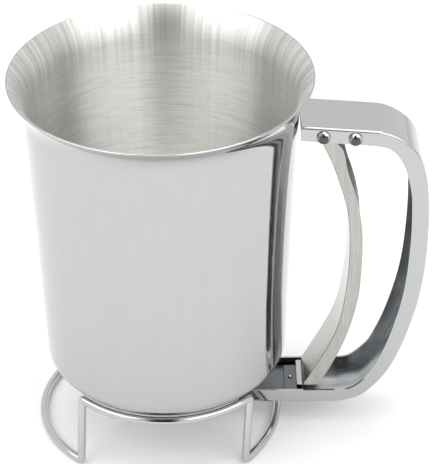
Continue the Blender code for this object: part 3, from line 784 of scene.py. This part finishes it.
def spring_route():
    pivot = flat_points([PIVOT])[0]
    web_leg = Vector((74.6 * MM, 127.5 * MM)) - pivot
    hook = flat_points([ANCHOR])[0] - pivot - Vector((0, 2.55 * MM))
    half = COIL_TURNS * COIL_PITCH / 2
    start = math.atan2(web_leg.y, web_leg.x) + math.acos(COIL_RADIUS / web_leg.length)
    end = math.atan2(hook.y, hook.x) - math.acos(COIL_RADIUS / hook.length)
    sweep = -2 * math.pi * COIL_TURNS + (end - start)
    count = 32 * COIL_TURNS
    route = [Vector((web_leg.x, half, web_leg.y))]
    for i in range(count + 1):
        a = start + sweep * i / count
        route.append(Vector((COIL_RADIUS * math.cos(a), half * (1 - 2 * i / count),
                             COIL_RADIUS * math.sin(a))))
    past = hook * ((hook.length + 2.2 * MM) / hook.length)
    route.append(Vector((past.x, -half, hook.y)))
    return [p + Vector((pivot.x + BOWL_X, 0, pivot.y)) for p in route]


def wire_tree():
    """Geometry Nodes: run a round section of a given radius along a route."""
    tree = bpy.data.node_groups.new("round_wire", "GeometryNodeTree")
    sockets = tree.interface
    sockets.new_socket("Route", in_out="INPUT", socket_type="NodeSocketGeometry")
    sockets.new_socket("Wire radius", in_out="INPUT", socket_type="NodeSocketFloat")
    sockets.new_socket("Sides", in_out="INPUT", socket_type="NodeSocketInt")
    sockets.new_socket("Steel", in_out="INPUT", socket_type="NodeSocketMaterial")
    sockets.new_socket("Wire", in_out="OUTPUT", socket_type="NodeSocketGeometry")
    entry = tree.nodes.new("NodeGroupInput")
    leave = tree.nodes.new("NodeGroupOutput")
    section = tree.nodes.new("GeometryNodeCurvePrimitiveCircle")
    sweep = tree.nodes.new("GeometryNodeCurveToMesh")
    shade = tree.nodes.new("GeometryNodeSetShadeSmooth")
    real = tree.nodes.new("GeometryNodeRealizeInstances")
    steel = tree.nodes.new("GeometryNodeSetMaterial")
    sweep.inputs["Fill Caps"].default_value = True
    for start, end in (
            (entry.outputs["Sides"], section.inputs["Resolution"]),
            (entry.outputs["Wire radius"], section.inputs["Radius"]),
            (entry.outputs["Route"], sweep.inputs["Curve"]),
            (section.outputs["Curve"], sweep.inputs["Profile Curve"]),
            (sweep.outputs["Mesh"], shade.inputs["Geometry"]),
            (shade.outputs["Geometry"], real.inputs["Geometry"]),
            (real.outputs["Geometry"], steel.inputs["Geometry"]),
            (entry.outputs["Steel"], steel.inputs["Material"]),
            (steel.outputs["Geometry"], leave.inputs["Wire"])):
        tree.links.new(start, end)
    return tree


WIRE_TREE = wire_tree()


def wire_object(name, route, radius, sides, material, closed=False):
    """A round wire along a route, as a closed mesh."""
    curve = bpy.data.curves.new(name, "CURVE")
    curve.dimensions = "3D"
    spline = curve.splines.new("POLY")
    spline.points.add(len(route) - 1)
    for point, spot in zip(spline.points, route):
        point.co = (*spot, 1)
    spline.use_cyclic_u = closed
    line = bpy.data.objects.new(name + "_route", curve)
    bpy.context.scene.collection.objects.link(line)
    modifier = line.modifiers.new("wire", "NODES")
    modifier.node_group = WIRE_TREE
    values = {"Wire radius": radius, "Sides": sides, "Steel": material}
    for item in WIRE_TREE.interface.items_tree:
        if item.name in values:
            modifier[item.identifier] = values[item.name]
    bpy.context.view_layer.update()
    graph = bpy.context.evaluated_depsgraph_get()
    mesh = bpy.data.meshes.new_from_object(line.evaluated_get(graph))
    bpy.data.objects.remove(line, do_unlink=True)
    build = bmesh.new()
    build.from_mesh(mesh)
    bmesh.ops.remove_doubles(build, verts=build.verts, dist=0.000001)
    bmesh.ops.recalc_face_normals(build, faces=build.faces)
    build.to_mesh(mesh)
    build.free()
    made = bpy.data.objects.new(name, smooth_shaded(mesh, 50))
    bpy.context.scene.collection.objects.link(made)
    return made


SPRING_WIRE = spring_steel()
route = spring_route()
spring = wire_object("torsion_spring", route[1:], COIL_WIRE, 12, SPRING_WIRE)
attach(spring, "dispenser")
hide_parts("return_spring")

spring_leg = wire_object("torsion_spring_leg", route[:3], LEG_FIT * COIL_WIRE, 12, SPRING_WIRE)
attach(spring_leg, "trigger")


# ------------------------------------------------------------------ stand
# The stand is one loop of 3.5 mm stainless wire, bent and butt-welded, then electropolished.
# Two arcs at the front and back hold the bowl's base and two arcs at the sides are its feet.

WIRE_RADIUS = 1.75 * MM
RING_RADIUS = 49.3 * MM
RING_HEIGHT = 30.2 * MM
RING_HALF_ANGLE = math.radians(47.0)
LEFT_FOOT = (-37.2 * MM, 39.8 * MM, -55.6 * MM)
RIGHT_FOOT = (34.0 * MM, 40.6 * MM, 48.7 * MM)
BEND_RADIUS = 3.6 * MM


def bright_wire():
    """Electropolished wire: bright, with long faint lines from the drawing die."""
    material, tree, shader = new_steel("bright_drawn_wire", "#BBBCBD", 0.1)
    place = node(tree, "TexCoord").outputs["Object"]
    skin = node(tree, "TexNoise", Vector=place, Scale=1 / (2.5 * MM), Detail=5.0)
    rough = node(tree, "MapRange", Value=skin.outputs[0], To_Min=0.06, To_Max=0.17)
    tree.links.new(rough.outputs[0], shader.inputs["Roughness"])
    bump = node(tree, "Bump", Height=skin.outputs[0], Strength=0.06, Distance=0.1 * MM)
    tree.links.new(bump.outputs[0], shader.inputs["Normal"])
    return material


def rounded(corners, radius, steps):
    """A closed route with its marked corners bent to a radius."""
    route = []
    for i, (corner, is_bend) in enumerate(corners):
        if not is_bend:
            route.append(corner)
            continue
        before = corners[i - 1][0] - corner
        after = corners[(i + 1) % len(corners)][0] - corner
        reach = min(radius, before.length * 0.6, after.length * 0.6)
        start = corner + before.normalized() * reach
        end = corner + after.normalized() * reach
        for k in range(steps + 1):
            t = k / steps
            route.append(start * (1 - t) ** 2 + corner * 2 * t * (1 - t) + end * t**2)
    return route


def foot_arc(foot, steps):
    """A foot on the floor, from front corner to back corner, as an arc through its far point."""
    corner_x, corner_y, far_x = foot
    rise = far_x - corner_x
    bend = (corner_y**2 + rise**2) / (2 * rise)
    half = math.asin(corner_y / abs(bend))
    turns = [half * (2 * i / steps - 1) for i in range(steps + 1)]
    return [Vector((far_x - bend * (1 - math.cos(a)), abs(bend) * math.sin(a), WIRE_RADIUS))
            for a in turns]


def ring_arc(middle, steps):
    """The part of the ring round one side of the bowl's base, anticlockwise from above."""
    turns = [middle + RING_HALF_ANGLE * (2 * i / steps - 1) for i in range(steps + 1)]
    return [Vector((math.cos(a) * RING_RADIUS, math.sin(a) * RING_RADIUS, RING_HEIGHT))
            for a in turns]


def stand_route():
    """One closed loop: front ring arc, right foot, back ring arc, left foot."""
    corners = []
    for piece in (ring_arc(-math.pi / 2, 48), foot_arc(RIGHT_FOOT, 40),
                  ring_arc(math.pi / 2, 48), foot_arc(LEFT_FOOT, 40)[::-1]):
        corners += [(point, point in (piece[0], piece[-1])) for point in piece]
    return [point + Vector((BOWL_X, 0, 0)) for point in rounded(corners, BEND_RADIUS, 12)]


stand = wire_object("wire_stand_loop", stand_route(), WIRE_RADIUS, 24, bright_wire(), closed=True)
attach(stand, "stand")
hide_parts("wire_stand")


# ------------------------------------------------------------------ studio
# A plain white floor that runs out of sight, large soft lights, and the camera above and in
# front of the bowl. The surroundings are white, with a dark flag in front for the steel to
# reflect, which is wider high up.

FLOOR_SIZE = 16.0


def floor_paint():
    """Matt white acrylic floor of a light box, lit a little from below, faintly mottled."""
    material = bpy.data.materials.new("matt_white_acrylic")
    material.use_nodes = True
    tree = material.node_tree
    shader = tree.nodes["Principled BSDF"]
    shader.inputs["Roughness"].default_value = 0.9
    shader.inputs["Specular IOR Level"].default_value = 0.2
    shader.inputs["Emission Color"].default_value = linear("#FFFFFF")
    shader.inputs["Emission Strength"].default_value = 0.16
    place = node(tree, "TexCoord").outputs["Object"]
    mottle = node(tree, "TexNoise", Vector=place, Scale=30.0, Detail=3.0)
    paint = tinted_ramp(tree, mottle.outputs[0], [(0.3, "#DDDDDD"), (0.7, "#E0E0E0")])
    tree.links.new(paint, shader.inputs["Base Color"])
    return material


build = bmesh.new()
bmesh.ops.create_grid(build, x_segments=1, y_segments=1, size=FLOOR_SIZE / 2)
mesh = bpy.data.meshes.new("studio_floor")
build.to_mesh(mesh)
build.free()
mesh.materials.append(floor_paint())
floor = bpy.data.objects.new("studio_floor", mesh)
bpy.context.scene.collection.objects.link(floor)


def studio_light(name, place, aim, size, power):
    light = bpy.data.lights.new(name, "AREA")
    light.shape = "RECTANGLE"
    light.size, light.size_y = size
    light.energy = power
    lamp = bpy.data.objects.new(name, light)
    lamp.location = place
    lamp.rotation_euler = (Vector(aim) - Vector(place)).to_track_quat("-Z", "Y").to_euler()
    bpy.context.scene.collection.objects.link(lamp)


studio_light("top_light", (0.0, 0.1, 1.3), (0, 0, 0.1), (1.0, 1.0), 7)
studio_light("left_light", (-1.03, -0.46, 1.1), (0, 0, 0.1), (1.4, 0.9), 7)
studio_light("right_light", (0.85, -0.75, 1.1), (0, 0, 0.1), (1.4, 0.9), 7)

world = bpy.data.worlds.new("studio")
bpy.context.scene.world = world
world.use_nodes = True
sky = world.node_tree
background = sky.nodes["Background"]
way = node(sky, "TexCoord").outputs["Generated"]
level = node(sky, "Mapping", Vector=way, Scale=(1.0, 1.0, 0.0))
heading = node(sky, "VectorMath", {"operation": "NORMALIZE"}, i0=level.outputs[0])
towards_front = node(sky, "VectorMath", {"operation": "DOT_PRODUCT"}, i0=heading.outputs[0],
                     i1=(-0.07, -0.9975, 0.0))
height = node(sky, "SeparateXYZ", i0=way).outputs[2]


def sky_step(value, start, end, amount):
    """A soft rise from 0 to amount, as a value goes from start to end."""
    made = node(sky, "MapRange", {"interpolation_type": "SMOOTHSTEP"}, Value=value,
                From_Min=start, From_Max=end, To_Min=0.0, To_Max=amount)
    return made.outputs[0]


def sky_sum(operation, first, second):
    return node(sky, "Math", {"operation": operation}, i0=first, i1=second).outputs[0]


narrow = sky_sum("MULTIPLY", sky_step(towards_front.outputs[1], 0.958, 0.986, 1.0),
                 sky_step(height, 0.0, 0.2, 1.0))
wide = sky_sum("MULTIPLY", sky_step(towards_front.outputs[1], 0.86, 0.94, 0.6),
               sky_step(height, 0.35, 0.65, 1.0))
lower = sky_sum("MULTIPLY", sky_sum("SUBTRACT", 1.0, narrow), sky_sum("SUBTRACT", 1.0, wide))
studio = sky_sum("MAXIMUM", lower, sky_step(height, 0.90, 0.98, 1.0))
sky.links.new(studio, background.inputs["Color"])
background.inputs["Strength"].default_value = 1.05

CAMERA_PITCH = math.radians(33.58)
CAMERA_ROLL = math.radians(-0.5)

bpy.context.scene.view_settings.view_transform = "Standard"
lens = bpy.data.cameras.new("camera")
lens.sensor_fit = "AUTO"
lens.sensor_width = 36.0
lens.lens = 170.7
lens.clip_start = 0.01
lens.clip_end = 50.0
camera = bpy.data.objects.new("camera", lens)
camera.rotation_mode = "QUATERNION"
camera.location = (22.11 * MM + BOWL_X, -782.84 * MM, 613.27 * MM)
forward = Vector((0, math.cos(CAMERA_PITCH), -math.sin(CAMERA_PITCH)))
right = Vector((1, 0, 0))
up = right.cross(forward)
tilted_right = right * math.cos(CAMERA_ROLL) + up * math.sin(CAMERA_ROLL)
tilted_up = up * math.cos(CAMERA_ROLL) - right * math.sin(CAMERA_ROLL)
axes = Matrix((tilted_right, tilted_up, -forward)).transposed()
camera.rotation_quaternion = axes.to_quaternion()
bpy.context.scene.collection.objects.link(camera)
bpy.context.scene.camera = camera
